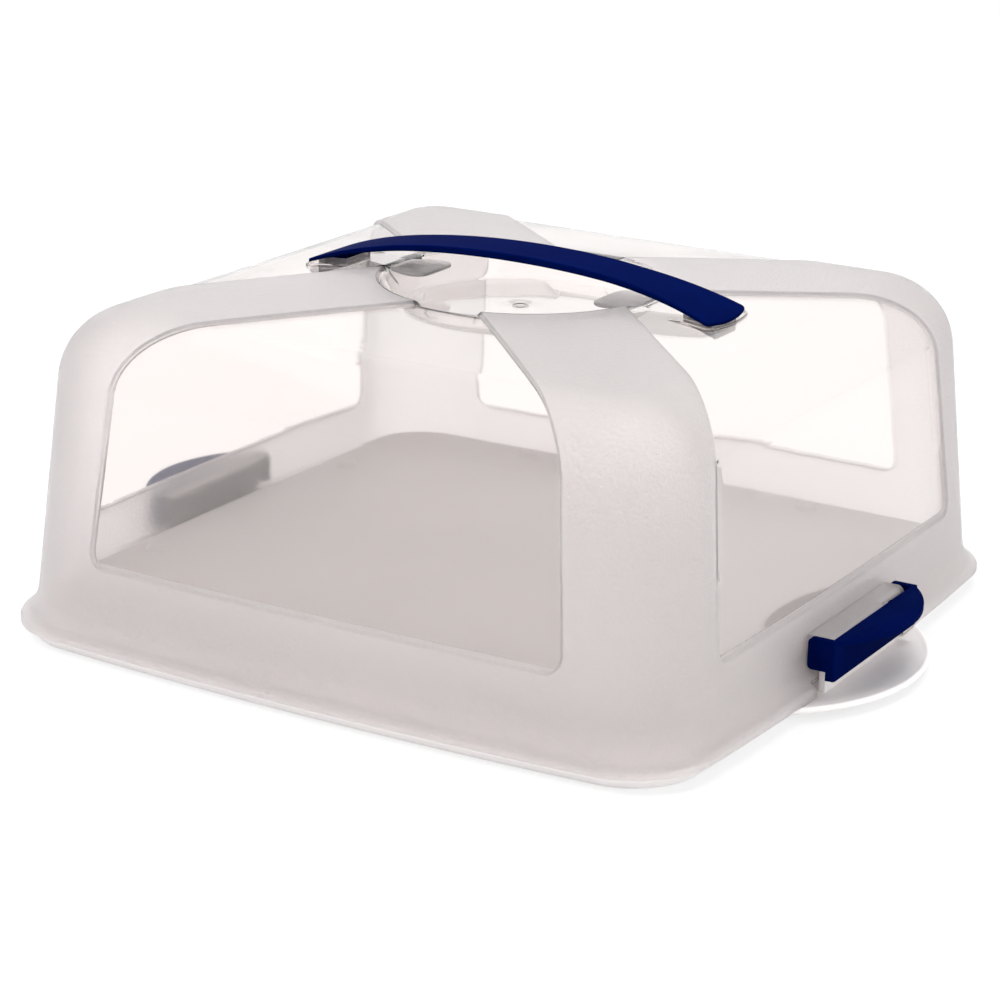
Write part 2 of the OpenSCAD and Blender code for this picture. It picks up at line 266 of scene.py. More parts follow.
def tray_rings():
    """Outline rings of the tray, from the platform's top over the rim to its underside."""
    flat, well, low = PLATFORM_HALF - PLATFORM_ROUND, PLATFORM_HALF + WELL_RUN, TRAY_WALL
    lean = math.degrees(math.atan2(WELL_RUN, PLATFORM_Z - RIM_Z))

    def flat_row(x, z):
        return x, z, FLAT_R * x / flat, PLATFORM_BOW * x / flat

    rows = [flat_row(x, PLATFORM_Z) for x in (30, 60, 90, 120, 140)]
    rows += [(x, z, FLAT_R + (x - flat), PLATFORM_BOW)
             for x, z in arc(flat, PLATFORM_Z - PLATFORM_ROUND, PLATFORM_ROUND, 90, lean, 8)]
    rows += [(x, z, WELL_R, WELL_BOW)
             for x, z in arc(well + WELL_FILLET, RIM_Z + WELL_FILLET, WELL_FILLET, 180 + lean, 270, 4)]
    rows += [(x, z, FOOT_R + RIM_R_MORE + x - RIM_HALF, RIM_BOW)
             for x, z in arc(RIM_HALF - RIM_ROUND, RIM_Z - RIM_ROUND, RIM_ROUND, 90, 0, 4)]
    rows.append((RIM_HALF, RIM_Z - low, RIM_UNDER_R, RIM_BOW))
    rows.append((FOOT_HALF + SKIRT_FLARE, SKIRT_TOP, FOOT_R + SKIRT_FLARE, RIM_BOW))
    rows += [(x, z, FOOT_R + x - FOOT_HALF, RIM_BOW)
             for x, z in arc(FOOT_HALF - 0.2, RIM_ROUND, RIM_ROUND, 0, -90, 4)]
    rows.append((FOOT_HALF - SKIRT_INSET, 0, FOOT_R - SKIRT_INSET, RIM_BOW))
    rows.append((FOOT_HALF - SKIRT_INSET + 1, UNDER_Z, FOOT_R - SKIRT_INSET + 1, RIM_BOW))
    rows.append((well - low, UNDER_Z, WELL_R - low, WELL_BOW))
    rows.append((PLATFORM_HALF - low, PLATFORM_Z - low - 2, UNDER_R - low, PLATFORM_BOW))
    rows.append((PLATFORM_HALF - low - 2, PLATFORM_Z - low, FLAT_R, PLATFORM_BOW))
    rows += [flat_row(x, PLATFORM_Z - low) for x in (120, 80, 40)]
    rings = []
    for half, z, corner, bow in rows:
        straight = half - corner
        lengths = np.concatenate([np.linspace(0, straight, 21)[:-1],
                                  straight + corner * math.pi / 4 * np.linspace(0, 1, 17)])
        x, y = eighth_points(half, corner, bow, lengths)
        rings.append(full_ring(x, y, np.full_like(x, z)))
    return rings


def lathe_part(name, profile, steps, place=(0, 0, 0), start=0.0, end=360.0):
    """A mesh turned about Z from a profile of [r, z] in mm, all round or between two angles."""
    whole = abs(end - start) >= 360.0
    angles = np.radians(np.linspace(start, end, steps + 1)[: steps if whole else steps + 1])
    work = bmesh.new()
    rows = [[work.verts.new(((place[0] + r * math.cos(a)) * MM, (place[1] + r * math.sin(a)) * MM,
                             (place[2] + z) * MM)) for r, z in profile] for a in angles]
    count = len(profile)
    turns = len(rows) if whole else len(rows) - 1
    for k in range(turns):
        one, two = rows[k], rows[(k + 1) % len(rows)]
        for i in range(count - 1):
            work.faces.new((one[i], one[i + 1], two[i + 1], two[i]))
    bmesh.ops.remove_doubles(work, verts=work.verts, dist=1e-6)
    bmesh.ops.recalc_face_normals(work, faces=work.faces)
    mesh = bpy.data.meshes.new(name)
    work.to_mesh(mesh)
    work.free()
    return mesh


def extrude_outline(name, outline, low, high, axis="Z", bevel=0.0):
    """A prism over an outline of points in mm. The axis says which way it is extruded."""
    turn = {"Z": lambda a, b, c: (a, b, c), "Y": lambda a, b, c: (a, c, b)}[axis]
    work = bmesh.new()
    bottom = [work.verts.new([v * MM for v in turn(a, b, low)]) for a, b in outline]
    top = [work.verts.new([v * MM for v in turn(a, b, high)]) for a, b in outline]
    count = len(outline)
    work.faces.new(bottom)
    work.faces.new(top)
    for i in range(count):
        j = (i + 1) % count
        work.faces.new((bottom[i], bottom[j], top[j], top[i]))
    bmesh.ops.recalc_face_normals(work, faces=work.faces)
    if bevel:
        sharp = [e for e in work.edges if e.calc_face_angle(0) > math.radians(25)]
        bmesh.ops.bevel(work, geom=sharp, offset=bevel * MM, segments=3, profile=0.5, affect="EDGES",
                        clamp_overlap=True)
    mesh = bpy.data.meshes.new(name)
    work.to_mesh(mesh)
    work.free()
    return mesh


def half_turned(mesh):
    """A copy of the mesh turned half way about Z, for the other side of the carrier."""
    copy = mesh.copy()
    copy.transform(HALF_TURN)
    return copy


def joined(name, meshes):
    """One mesh that holds several closed shells."""
    work = bmesh.new()
    for mesh in meshes:
        work.from_mesh(mesh)
    mesh = bpy.data.meshes.new(name)
    work.to_mesh(mesh)
    work.free()
    return mesh


LUG_REACH, LUG_HALF, LUG_ROOT = 194.0, 61.0, 167.0
LUG_LOW, LUG_TOP, LUG_OVERLAP = 3.2, 5.4, 4.0
BEAD_R, BEAD_FADE = 1.4, 3.2
CATCH_HALF = 36.0
STUD_OUT, STUD_ALONG = 141.0, 75.5


def lug_mesh():
    """Half moon plate beside the rim, with a rounded bead along its edge."""
    sag = LUG_REACH - LUG_ROOT
    radius = (LUG_HALF ** 2 + sag ** 2) / (2 * sag)
    centre = LUG_REACH - radius
    half_angle = math.degrees(math.asin(LUG_HALF / radius))
    inner = radius - sag - LUG_OVERLAP
    profile = [(inner, LUG_LOW), (radius - 2, LUG_LOW)]
    profile += arc(radius - BEAD_R, LUG_LOW + BEAD_R, BEAD_R, -80, 90, 8)
    profile += [(radius - 2.4, LUG_TOP + 0.35), (radius - BEAD_FADE, LUG_TOP)]
    profile += [(inner, LUG_TOP), (inner, LUG_LOW)]
    return lathe_part("lug", profile, 72, (centre, 0, 0), -half_angle - 1, half_angle + 1)


def catch_mesh():
    """Upright strip with a nose on top, which the clip's hook holds on to."""
    back, front, nose, low, top = 166.6, 169.6, 172.9, 14.8, 16.7
    outline = [(back, RIM_Z - 1), (front, RIM_Z - 1), (front, low), (nose, low), (nose, low + 0.6),
               (front + 0.6, top), (back, top)]
    return extrude_outline("catch", outline, -CATCH_HALF, CATCH_HALF, "Y", 0.25)


def stud_mesh(turn, along):
    """Low round stud near the platform's edge."""
    base_r, top_r, high = 5.5, 4.0, 2.5
    profile = [(base_r + 0.3, -0.6), (base_r, 0.0), (top_r + 0.4, high - 0.5)]
    profile += [(top_r - 0.4, high), (0, high)]
    mesh = lathe_part("stud", profile, 40, (STUD_OUT, along, PLATFORM_Z))
    mesh.transform(Matrix.Rotation(math.pi / 2 * turn, 4, "Z"))
    return mesh


def tray_material():
    """White polypropylene: satin, faintly grained, with a little uneven tone."""
    material, nodes, links = new_material("tray_white_plastic")
    shader = add_node(nodes, "ShaderNodeBsdfPrincipled", Roughness=0.42, IOR=1.49)
    shader.inputs["Subsurface Weight"].default_value = 0.08
    shader.inputs["Subsurface Radius"].default_value = (0.004, 0.003, 0.0025)
    output = add_node(nodes, "ShaderNodeOutputMaterial")
    place = add_node(nodes, "ShaderNodeTexCoord")
    cloud = add_node(nodes, "ShaderNodeTexNoise", Scale=14.0, Detail=3.0, Roughness=0.5)
    tone = add_node(nodes, "ShaderNodeValToRGB")
    tone.color_ramp.elements[0].position = 0.3
    tone.color_ramp.elements[0].color = (0.86, 0.82, 0.81, 1.0)
    tone.color_ramp.elements[1].position = 0.7
    tone.color_ramp.elements[1].color = (0.90, 0.86, 0.85, 1.0)
    grain = add_node(nodes, "ShaderNodeTexNoise", Scale=900.0, Detail=4.0, Roughness=0.6)
    bump = add_node(nodes, "ShaderNodeBump", Strength=0.12, Distance=0.0004)
    links.new(place.outputs["Object"], cloud.inputs["Vector"])
    links.new(place.outputs["Object"], grain.inputs["Vector"])
    links.new(cloud.outputs["Fac"], tone.inputs["Fac"])
    links.new(tone.outputs["Color"], shader.inputs["Base Color"])
    links.new(grain.outputs["Fac"], bump.inputs["Height"])
    links.new(bump.outputs["Normal"], shader.inputs["Normal"])
    links.new(shader.outputs["BSDF"], output.inputs["Surface"])
    return material


def build_tray():
    shell = skin_mesh("tray_shell", tray_rings())
    outward(shell)
    lug, catch = lug_mesh(), catch_mesh()
    parts = [shell, lug, half_turned(lug), catch, half_turned(catch)]
    parts += [stud_mesh(turn, along) for turn in range(4) for along in (-STUD_ALONG, STUD_ALONG)]
    mesh = joined("tray", parts)
    smooth(mesh)
    mesh.materials.append(tray_material())
    place_piece(new_piece("tray_moulding", mesh), "tray_body", "tray", "base_tray")


build_tray()

# Hood: one clear polypropylene moulding of even wall that drops over the tray's platform.
# The four windows and the finger recess are polished. The corner bands, the border below
# and the clips' ledges are grained.
WALL_HALF, WINDOW_FOOT = 158.2, 39.5
HOOD_TOP, HOOD_WALL = 149.5, 1.8
FLANGE_HALF, FLANGE_LOW, FLANGE_R, SIDE_BOW = 164.0, 6.1, 31.0, 2.8
SHOULDER_R, BAND_OFFSET, WINDOW_DROP = 33.0, 43.5, 1.7
RECESS_R, RECESS_FLOOR = 60.0, 137.0
WALL_R, SHOULDER_START_R, COVE_TOP = 37.0, 33.0, 21.0
TAPER, SLOPE = math.radians(5.32), math.radians(4.86)
EDGE_STEP, WINDOW_CORNER = 1.4, 9.0
FLANGE_ROUND, FLANGE_LIP = 0.5, 1.2
CORNER_FALL = 0.85
RECESS_RIM_R, RECESS_LEAN, DISH_R = 3.0, math.radians(150), 8.0
FLOOR_ROWS = (40, 25, 12, 4)
GATE_MARK = ((3.4, 0.05), (3.1, 0.35), (2.7, 0.4), (2.2, 0.25), (1, 0.2))
WINDOW_COLUMNS, STEP_COLUMNS, BAND_COLUMNS = 16, 4, 22


def wall_x(z):
    return WALL_HALF - (z - WINDOW_FOOT) * math.tan(TAPER)


def top_z(x):
    return HOOD_TOP - (x - RECESS_R) * math.tan(SLOPE)


CORNER_X = ((WALL_HALF + (WINDOW_FOOT - HOOD_TOP - RECESS_R * math.tan(SLOPE)) * math.tan(TAPER))
            / (1 - math.tan(TAPER) * math.tan(SLOPE)))
CORNER_Z = top_z(CORNER_X)
ARM = SHOULDER_R * math.tan((math.pi / 2 - TAPER - SLOPE) / 2)
SHOULDER_CX = CORNER_X + ARM * math.sin(TAPER) - SHOULDER_R * math.cos(TAPER)
SHOULDER_CZ = CORNER_Z - ARM * math.cos(TAPER) - SHOULDER_R * math.sin(TAPER)
SHOULDER_Z = CORNER_Z - ARM * math.cos(TAPER)
SHOULDER_X = wall_x(SHOULDER_Z)
CROWN_X = CORNER_X - ARM * math.cos(SLOPE)


def mix(a, b, t):
    return a + (b - a) * t


def through(points, steps):
    """Rows of numbers along a smooth curve through the given rows."""
    points = np.asarray(points, dtype=float)
    padded = np.concatenate([[2 * points[0] - points[1]], points, [2 * points[-1] - points[-2]]])
    rows = []
    for k in range(len(points) - 1):
        a, b, c, d = padded[k:k + 4]
        for t in np.linspace(0, 1, steps + 1)[:-1]:
            rows.append(0.5 * (2 * b + (c - a) * t + (2 * a - 5 * b + 4 * c - d) * t ** 2
                               + (3 * b - a - 3 * c + d) * t ** 3))
    return rows + [points[-1]]


def flange_rows():
    """The flange from its lower edge: upright rim with a rounded top, then the cove."""
    cove_x = wall_x(COVE_TOP)
    curve = through([
        (FLANGE_HALF, FLANGE_LOW + 2.3, FLANGE_R, RIM_BOW),
        (163.2, 10.5, 31.5, 5.8),
        (161.8, 12.0, 32.5, 5.0),
        (cove_x + 0.9, 14.5, 34.5, 4.0),
        (cove_x + 0.25, 17.5, 36.0, 3.2),
        (cove_x, COVE_TOP, WALL_R, SIDE_BOW)], 4)
    corner = FLANGE_HALF - FLANGE_ROUND, FLANGE_LOW + FLANGE_ROUND
    start = [(x, z, FLANGE_R + x - FLANGE_HALF, RIM_BOW)
             for x, z in arc(*corner, FLANGE_ROUND, -70, 0, 4)]
    rows = [np.array(r) for r in start] + curve
    slopes = np.gradient(np.array(rows)[:, :2], axis=0)
    return [(*row[:3], dz / math.hypot(dx, dz), -dx / math.hypot(dx, dz), row[3], 0.0, 0.0, "border")
            for row, (dx, dz) in zip(rows, slopes)]


def hood_profile():
    """Rows of the outer skin, from the flange to the recess.

    A row holds half width, height, corner radius, the normal's two parts, bow, the window's
    drop below the bands, the inset of its rounded corner, and the kind of surface.
    """
    rows = flange_rows()
    step, corner_rows = [0.0, 0.3, 0.6, 1.0, EDGE_STEP], [3, 4, 5, 6, 7, 8, WINDOW_CORNER]
    heights = [25, 30, 35] + [WINDOW_FOOT + h for h in step + corner_rows]
    heights += list(np.linspace(56, SHOULDER_Z, 10))
    for z in heights:
        h = z - WINDOW_FOOT
        ease = min(max(h / EDGE_STEP, 0.0), 1.0)
        drop = WINDOW_DROP * ease * ease * (3 - 2 * ease)
        rise = min(max(h, 0.0), WINDOW_CORNER)
        inset = WINDOW_CORNER - math.sqrt(WINDOW_CORNER ** 2 - (WINDOW_CORNER - rise) ** 2)
        corner = mix(WALL_R, SHOULDER_START_R, (z - COVE_TOP) / (SHOULDER_CZ - COVE_TOP))
        bow = SIDE_BOW * min(1.0, (HOOD_TOP - z) / (HOOD_TOP - WINDOW_FOOT))
        rows.append((wall_x(z), z, corner, math.cos(TAPER), math.sin(TAPER), bow, drop, inset,
                     "window" if h >= EDGE_STEP else "border"))
    for a in np.linspace(TAPER, math.pi / 2 - SLOPE, 18)[1:]:
        x, z = SHOULDER_CX + SHOULDER_R * math.cos(a), SHOULDER_CZ + SHOULDER_R * math.sin(a)
        bow = SIDE_BOW * (HOOD_TOP - z) / (HOOD_TOP - WINDOW_FOOT)
        rows.append((x, z, SHOULDER_START_R - CORNER_FALL * (SHOULDER_X - x), math.cos(a),
                     math.sin(a), bow, WINDOW_DROP, 0.0, "window"))
    crown_r = SHOULDER_START_R - CORNER_FALL * (SHOULDER_X - CROWN_X)
    rim_r, lean, dish_r = RECESS_RIM_R, RECESS_LEAN, DISH_R
    rim_cx = RECESS_R + rim_r
    rim_cz = top_z(rim_cx) - rim_r
    for t in np.linspace(0, 1, 11)[1:]:
        x = mix(CROWN_X, rim_cx, t)
        rows.append((x, top_z(x), mix(crown_r, rim_cx, t), math.sin(SLOPE), math.cos(SLOPE),
                     0.0, WINDOW_DROP, 0.0, "window"))
    for a in np.linspace(math.radians(100), lean, 6):
        x = rim_cx + rim_r * math.cos(a)
        rows.append((x, rim_cz + rim_r * math.sin(a), x, math.cos(a), math.sin(a), 0.0,
                     WINDOW_DROP, 0.0, "dish"))
    top_x, top_h = rim_cx + rim_r * math.cos(lean), rim_cz + rim_r * math.sin(lean)
    foot_z = RECESS_FLOOR + dish_r - dish_r * math.sin(lean)
    foot_x = top_x - (top_h - foot_z) * math.tan(math.pi - lean)
    for t in (0.35, 0.7):
        x = mix(top_x, foot_x, t)
        rows.append((x, mix(top_h, foot_z, t), x, math.cos(lean), math.sin(lean), 0.0,
                     WINDOW_DROP * (1 - t), 0.0, "dish"))
    dish_cx = foot_x + dish_r * math.cos(lean)
    for a in np.linspace(lean, math.pi / 2, 8):
        x = dish_cx - dish_r * math.cos(a)
        rows.append((x, RECESS_FLOOR + dish_r - dish_r * math.sin(a), x, math.cos(a), math.sin(a),
                     0.0, 0.0, 0.0, "dish"))
    for x, lift in [(x, 0) for x in FLOOR_ROWS] + list(GATE_MARK):
        rows.append((x, RECESS_FLOOR + lift, x, 0.0, 1.0, 0.0, 0.0, 0.0, "dish"))
    return rows


def window_edge(half, corner):
    """Length along the eighth at which the windows end, a fixed way from the diagonal."""
    if corner <= BAND_OFFSET:
        return half - BAND_OFFSET
    return half - corner + corner * (math.acos(BAND_OFFSET / (corner * math.sqrt(2))) - math.pi / 4)


def hood_ring(row, inward):
    """One ring of the hood's skin, moved in by the wall's thickness for the inner skin."""
    half, z, corner, nx, nz, bow, drop, inset = row[:8]
    end = half - corner + corner * math.pi / 4
    edge = max(window_edge(half, corner) - inset, 0.25 * end)
    step = min(EDGE_STEP, 0.4 * edge)
    lengths = np.concatenate([
        np.linspace(0, edge - step, WINDOW_COLUMNS + 1)[:-1],
        np.linspace(edge - step, edge, STEP_COLUMNS + 1)[:-1],
        np.linspace(edge, end, BAND_COLUMNS + 1)])
    ease = np.clip((edge - lengths) / EDGE_STEP, 0.0, 1.0)
    low = drop * ease * ease * (3 - 2 * ease) + inward
    xs, ys = np.empty_like(lengths), np.empty_like(lengths)
    for i, length in enumerate(lengths):
        half_in, corner_in = half - low[i] * nx, max(corner - low[i] * nx, 1.0)
        last = half_in - corner_in + corner_in * math.pi / 4
        x, y = eighth_points(half_in, corner_in, bow, np.array([min(length, last)]))
        xs[i], ys[i] = x[0], y[0]
    return full_ring(xs, ys, z - low * nz)


def hood_rings():
    """Rings from the outer skin's middle down to the flange and up again inside."""
    profile = hood_profile()
    outer = profile[::-1]
    rings = [hood_ring(row, 0.0) for row in outer]
    kinds = [row[8] for row in outer]
    lip = FLANGE_HALF - FLANGE_LIP, FLANGE_LOW, FLANGE_R - FLANGE_LIP, 1.0, 0.0, RIM_BOW, 0.0, 0.0
    rings.append(hood_ring(lip, 0.0))
    kinds.append("border")
    start = next(i for i, row in enumerate(profile) if row[1] > FLANGE_LOW + 1.5)
    first = profile[start]
    rings.append(hood_ring((first[0], FLANGE_LOW, *first[2:]), HOOD_WALL))
    kinds.append("border")
    for row in profile[start:]:
        rings.append(hood_ring(row, HOOD_WALL))
        kinds.append(row[8])
    return rings, kinds


def plastic(name, tint, roughness, transmission, haze_spread):
    """Clear polypropylene: part of the light passes, the rest is scattered as a pale haze."""
    material, nodes, links = new_material(name)
    shader = add_node(nodes, "ShaderNodeBsdfPrincipled", Roughness=roughness, IOR=1.45)
    shader.inputs["Transmission Weight"].default_value = transmission
    output = add_node(nodes, "ShaderNodeOutputMaterial")
    place = add_node(nodes, "ShaderNodeTexCoord")
    cloud = add_node(nodes, "ShaderNodeTexNoise", Scale=9.0, Detail=2.0, Roughness=0.5)
    tone = add_node(nodes, "ShaderNodeValToRGB")
    tone.color_ramp.elements[0].position = 0.3
    tone.color_ramp.elements[0].color = (*(c - haze_spread for c in tint), 1.0)
    tone.color_ramp.elements[1].position = 0.7
    tone.color_ramp.elements[1].color = (*tint, 1.0)
    links.new(place.outputs["Object"], cloud.inputs["Vector"])
    links.new(cloud.outputs["Fac"], tone.inputs["Fac"])
    links.new(tone.outputs["Color"], shader.inputs["Base Color"])
    links.new(shader.outputs["BSDF"], output.inputs["Surface"])
    return material, nodes, links, shader, place


def window_material():
    """Polished window: slightly wavy where the melt flowed."""
    material, nodes, links, shader, place = plastic(
        "hood_clear_window", tint=(1.0, 0.965, 0.95), roughness=0.04, transmission=0.96, haze_spread=0.006)
    wave = add_node(nodes, "ShaderNodeTexNoise", Scale=26.0, Detail=1.0, Roughness=0.4)
    bump = add_node(nodes, "ShaderNodeBump", Strength=0.08, Distance=0.002)
    links.new(place.outputs["Object"], wave.inputs["Vector"])
    links.new(wave.outputs["Fac"], bump.inputs["Height"])
    links.new(bump.outputs["Normal"], shader.inputs["Normal"])
    return material


def band_material():
    """Grained band: a fine leather grain that scatters what lies behind it."""
    material, nodes, links, shader, place = plastic(
        "hood_grained_band", tint=(0.99, 0.945, 0.94), roughness=0.33, transmission=0.84, haze_spread=0.01)
    cells = add_node(nodes, "ShaderNodeTexVoronoi", feature="SMOOTH_F1", Scale=620.0)
    fine = add_node(nodes, "ShaderNodeTexNoise", Scale=1500.0, Detail=3.0, Roughness=0.6)
    both = add_node(nodes, "ShaderNodeMath", operation="ADD")
    bump = add_node(nodes, "ShaderNodeBump", Strength=0.35, Distance=0.0006)
    links.new(place.outputs["Object"], cells.inputs["Vector"])
    links.new(place.outputs["Object"], fine.inputs["Vector"])
    links.new(cells.outputs["Distance"], both.inputs[0])
    links.new(fine.outputs["Fac"], both.inputs[1])
    links.new(both.outputs[0], bump.inputs["Height"])
    links.new(bump.outputs["Normal"], shader.inputs["Normal"])
    return material


def cut_or_join(piece, mesh, operation, slot):
    """Cuts a closed mesh out of a piece, or joins it on, and applies the result."""
    for material in piece.data.materials:
        mesh.materials.append(material)
    mesh.polygons.foreach_set("material_index", [slot] * len(mesh.polygons))
    tool = new_piece("tool", mesh)
    change = piece.modifiers.new("change", "BOOLEAN")
    change.operation = operation
    change.solver = "EXACT"
    change.object = tool
    view = bpy.context.evaluated_depsgraph_get()
    result = bpy.data.meshes.new_from_object(piece.evaluated_get(view))
    piece.modifiers.clear()
    piece.data = result
    bpy.data.objects.remove(tool)


def box_mesh(low, high):
    outline = [(low[0], low[1]), (high[0], low[1]), (high[0], high[1]), (low[0], high[1])]
    return extrude_outline("box", outline, low[2], high[2])


LEDGE_TOP, LEDGE_X, LEDGE_BACK_X = 30.3, 173.6, 170.9
LEDGE_HALF, LEDGE_BREAK = 38.6, 13.0
PIN_X, PIN_Z, PIN_R, PIN_OUT = 168.0, 27.4, 1.8, 2.05


def ledge_parts():
    """Ledge for a clip: a top plate with ribs under it, and a pin stub at each end."""
    plate, rib, root, low, nose = 2.2, 3.0, 160.6, 24.0, 3.0

    def plate_outline(front):
        centre = (front - nose, LEDGE_TOP - nose)
        under = [(x, LEDGE_TOP - plate) for x in (root, front - nose, front - 0.3)]
        return [(root, LEDGE_TOP)] + under + arc(*centre, nose, 15, 90, 6)

    def rib_outline(front):
        centre = (front - nose, LEDGE_TOP - nose)
        return [(root, low), (front, low)] + arc(*centre, nose, 0, 90, 8) + [(root, LEDGE_TOP)]

    parts = [extrude_outline("plate", plate_outline(LEDGE_X), -LEDGE_HALF, LEDGE_BREAK, "Y"),
             extrude_outline("plate", plate_outline(LEDGE_BACK_X), LEDGE_BREAK - 0.01, LEDGE_HALF, "Y")]
    for start, front in ((-LEDGE_HALF, LEDGE_X), (-LEDGE_HALF / 3, LEDGE_X), (LEDGE_BREAK - rib, LEDGE_X),
                         (LEDGE_HALF - rib, LEDGE_BACK_X)):
        parts.append(extrude_outline("rib", rib_outline(front), start + 0.02, start + rib - 0.02, "Y"))
    pin = [(PIN_X + PIN_R * math.cos(a), PIN_Z + PIN_R * math.sin(a))
           for a in np.linspace(0, math.tau, 33)[:-1]]
    parts.append(extrude_outline("pin", pin, -LEDGE_HALF - PIN_OUT, -LEDGE_HALF + 0.5, "Y"))
    parts.append(extrude_outline("pin", pin, LEDGE_HALF - 0.5, LEDGE_HALF + PIN_OUT, "Y"))
    return parts


HANDLE_HALF, HANDLE_W, HANDLE_FLARE, NOSE_R = 102.2, 25.8, 5.1, 60.0
FLARE_X, NOSE_X, NOSE_CORNER_R = 50.0, 99.5, 1.6
FOOT_X0, FOOT_X1, FOOT_Y = 86.0, 97.6, 7.6
SEAT_START, SEAT_GAP, SEAT_W, SEAT_H, SEAT_DEEP = 81.0, 0.35, 1.2, 1.1, 0.9
TONGUE_LOW, TONGUE_TOP = 145.9, 147.4
POCKET_GAP, POCKET_WALL = 0.4, 1.4
NOTCH_X, NOTCH_OUT, NOTCH_HALF = 166.2, 196.2, 44.0


def handle_y(x):
    """Half width of the handle at a distance from its middle."""
    return HANDLE_W / 2 + HANDLE_FLARE * (max(0.0, x - FLARE_X) / (NOSE_X - FLARE_X)) ** 1.4


def nose_outline(grow, start):
    """Outline round an end of the handle, grown outwards, from x = start and back to it."""
    side = [(x, handle_y(x) + grow) for x in np.linspace(start, NOSE_X - 2, 10)]
    corner_y = handle_y(NOSE_X)
    corner_x = NOSE_X - 1.7
    turn = arc(corner_x, corner_y - NOSE_CORNER_R, NOSE_CORNER_R + grow, 80, 15, 6)
    radius = NOSE_R + grow
    nose = [(HANDLE_HALF - NOSE_R + math.sqrt(radius ** 2 - y * y), y)
            for y in np.linspace(corner_y - 2.0, 0, 9)]
    half = side + turn + nose
    return half + [(x, -y) for x, y in half[-2::-1]]


def seat_mesh():
    """Low bead on the window round an end of the handle, following the slope of the top."""
    outer, inner = nose_outline(SEAT_GAP + SEAT_W, SEAT_START), nose_outline(SEAT_GAP, SEAT_START)
    side, fade_run = SEAT_H - 0.35, 8.0
    section = [(0, -SEAT_DEEP), (0, side), (0.3, SEAT_H), (0.7, SEAT_H), (1, side), (1, -SEAT_DEEP)]
    rows = []
    for fraction, rise in section:
        row = []
        for (xo, yo), (xi, yi) in zip(outer, inner):
            x, y = mix(xo, xi, fraction), mix(yo, yi, fraction)
            fade = min(1.0, (x - SEAT_START) / fade_run + 0.05)
            lift = rise if rise < 0 else rise * fade
            row.append((x, y, top_z(x) - WINDOW_DROP + lift))
        rows.append(row)
    work = bmesh.new()
    grid = [[work.verts.new([c * MM for c in p]) for p in row] for row in rows]
    count = len(grid[0])
    for i in range(len(grid)):
        j = (i + 1) % len(grid)
        for k in range(count - 1):
            work.faces.new((grid[i][k], grid[i][k + 1], grid[j][k + 1], grid[j][k]))
    for k in (0, -1):
        work.faces.new([row[k] for row in grid])
    bmesh.ops.recalc_face_normals(work, faces=work.faces)
    mesh = bpy.data.meshes.new("seat")
    work.to_mesh(mesh)
    work.free()
    return mesh


def tongue_mesh():
    """Thin tongue at the recess's rim that carries the window's top a little way in."""
    side = [(66.0, 7.0), (60.0, 10.4), (54.0, 13.2), (49.0, 14.3)]
    half = side + arc(47.5, 8.8, 5.5, 85, 180, 10) + [(41.8, 4.0)]
    outline = half + [(x, -y) for x, y in half[::-1]]
    return extrude_outline("tongue", outline, TONGUE_LOW, TONGUE_TOP, "Z", 0.45)


def pocket_mesh(grow, rise):
    """Wedge round a foot of the handle, or the hollow in it. Its top slopes with the bar."""
    near, far, half = FOOT_X0 - POCKET_GAP - grow, FOOT_X1 + POCKET_GAP + grow, FOOT_Y + POCKET_GAP + grow
    outline = [(near, 147.6 + rise), (near, 144.4 - grow), (far, 138.9 - grow), (far, 146.6 + rise)]
    return extrude_outline("pocket", outline, -half, half, "Y")


def flange_end_mesh(low, high):
    """Plate that closes the flange where the notch for a clip cuts through it."""
    outline = [(160.5, 6.5), (168.4, 6.5), (168.4, 9.8), (166.3, 11.7), (160.5, 13.0)]
    return extrude_outline("flange_end", outline, low, high, "Y")


def build_hood():
    rings, kinds = hood_rings()
    per_eighth = WINDOW_COLUMNS + STEP_COLUMNS + BAND_COLUMNS

    def slots(row, column):
        pair = kinds[row], kinds[min(row + 1, len(kinds) - 1)]
        if "dish" in pair:
            return 0
        j = column % (2 * per_eighth)
        station = j if j < per_eighth else 2 * per_eighth - 1 - j
        return 0 if pair == ("window", "window") and station < WINDOW_COLUMNS else 1

    mesh = skin_mesh("hood", rings, slots)
    outward(mesh)
    mesh.materials.append(window_material())
    mesh.materials.append(band_material())
    piece = new_piece("hood_moulding", mesh)
    for part in ledge_parts():
        for shape in (part, half_turned(part)):
            cut_or_join(piece, shape, "UNION", 1)
    near, far = NOTCH_HALF - 1, NOTCH_HALF + 1.4
    for shape, slot in ((tongue_mesh(), 1), (seat_mesh(), 0), (pocket_mesh(POCKET_WALL, 0.0), 1),
                        (flange_end_mesh(near, far), 1), (flange_end_mesh(-far, -near), 1)):
        cut_or_join(piece, shape, "UNION", slot)
        cut_or_join(piece, half_turned(shape), "UNION", slot)
    pocket = pocket_mesh(0.0, 12.0)
    notch = box_mesh((NOTCH_X, -NOTCH_HALF, 0), (NOTCH_OUT, NOTCH_HALF, COVE_TOP))
    for shape in (pocket, half_turned(pocket), notch, half_turned(notch)):
        cut_or_join(piece, shape, "DIFFERENCE", 0)
    smooth(piece.data, 38.0)
    place_piece(piece, "hood_body", "hood", "hood")


build_hood()

# Handle: a navy polypropylene bar, bowed over the finger recess. Its two feet snap into
# wedge pockets in the hood's top, and low beads on the windows frame its ends.
HANDLE_TOP, HANDLE_THICK, HANDLE_FALL, END_THIN = 162.4, 3.2, 16.0, 1.7
BAR_ROUND, PRONG_W, FOOT_LOW = 0.55, 2.2, 139.8


